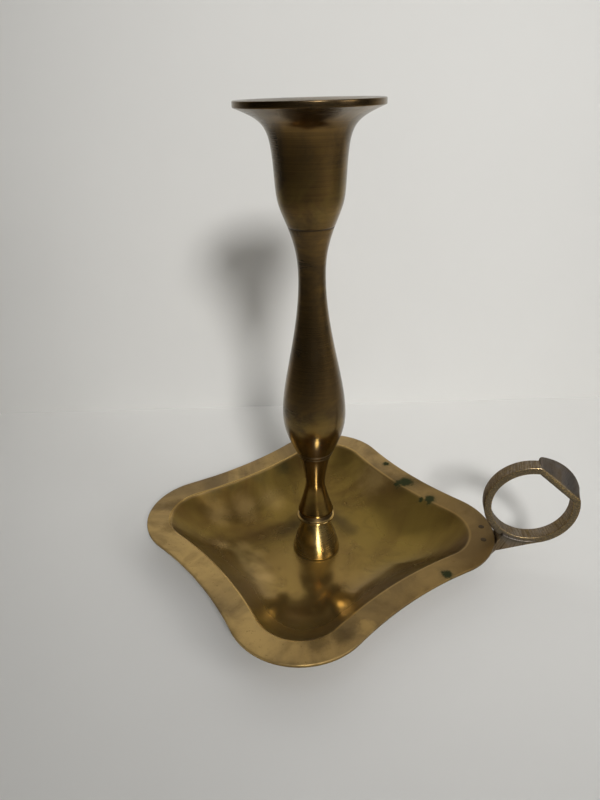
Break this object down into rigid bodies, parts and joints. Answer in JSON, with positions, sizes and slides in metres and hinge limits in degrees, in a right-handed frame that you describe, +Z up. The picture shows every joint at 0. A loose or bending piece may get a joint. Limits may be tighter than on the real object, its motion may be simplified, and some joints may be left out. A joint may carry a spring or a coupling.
{
  "type": "chamberstick",
  "caption": "Tall turned brass chamberstick on a square drip tray with hollow sides, a flared candle cup and a finger loop with a thumb rest at one corner.",
  "frame": {"origin": "on the stem's axis, at the level of the table under the tray", "axes": "+Z up along the stem; +X along the tray's diagonal towards the corner with the finger loop"},
  "size_m": [0.1862, 0.154, 0.1847],
  "materials": {
    "tray_brass": "pressed sheet, semi-bright with stains and verdigris",
    "foot_brass": "turned, rubbed bright",
    "collar_brass": "turned, tarnished in the cove",
    "stem_brass": "turned, dark tarnish with fine turning marks",
    "loop_brass": "cast, filed, grey-brown tarnish",
    "plate_brass": "filed flat, grey sheen",
    "hardware_brass": "dull",
    "rivet_brass": "filed flush with the rim, dull"
  },
  "bodies": {
    "root": {"tray": "tray_brass", "bell_foot": "foot_brass", "foot_collar": "collar_brass", "foot_spindle": "foot_brass", "baluster": "stem_brass", "candle_cup": "stem_brass", "fixing_stud": "hardware_brass", "stud_washer": "hardware_brass", "stud_nut": "hardware_brass", "finger_ring": "loop_brass", "thumb_plate": "plate_brass", "tongue_rivets": "rivet_brass"}
  },
  "joints": []
}
